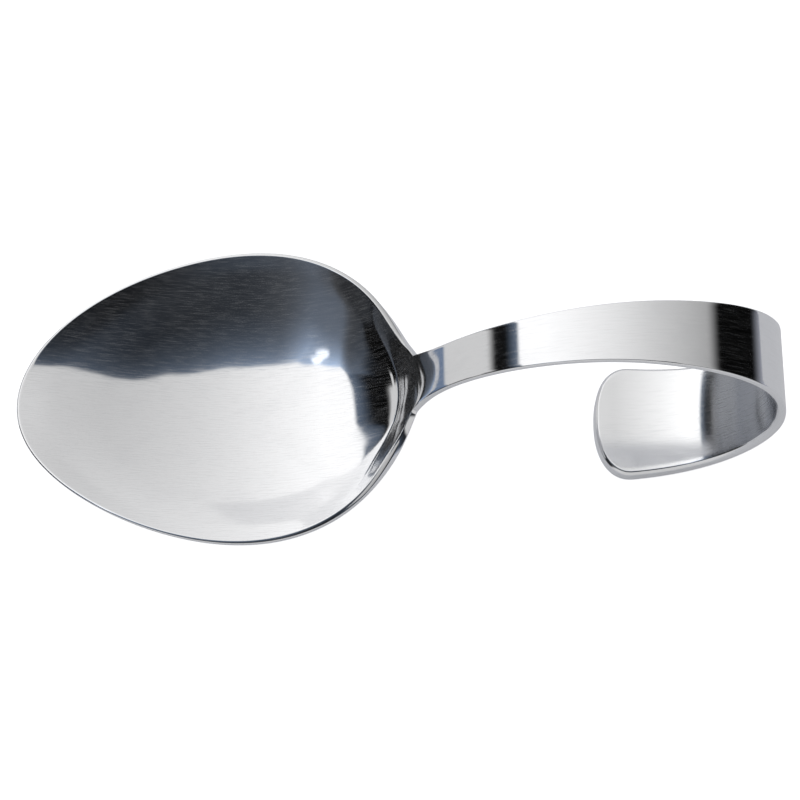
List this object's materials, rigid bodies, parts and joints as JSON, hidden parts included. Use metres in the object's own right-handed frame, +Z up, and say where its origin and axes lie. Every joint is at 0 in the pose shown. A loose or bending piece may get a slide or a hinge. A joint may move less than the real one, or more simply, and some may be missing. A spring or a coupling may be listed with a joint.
{
  "type": "tasting spoon",
  "caption": "Small serving spoon with a deep oval bowl and a flat strip handle that arches up and curls back under itself, so it stands on a table.",
  "frame": {"origin": "on the table, under the middle of the spoon's length and width", "axes": "+Z up, +X from the bowl's tip towards the handle's loop, +Y across the bowl"},
  "size_m": [0.1225, 0.051, 0.0378],
  "materials": {
    "steel": "mirror polished stainless steel with very fine lengthwise brush lines"
  },
  "bodies": {
    "root": {"spoon": "steel"}
  },
  "joints": []
}
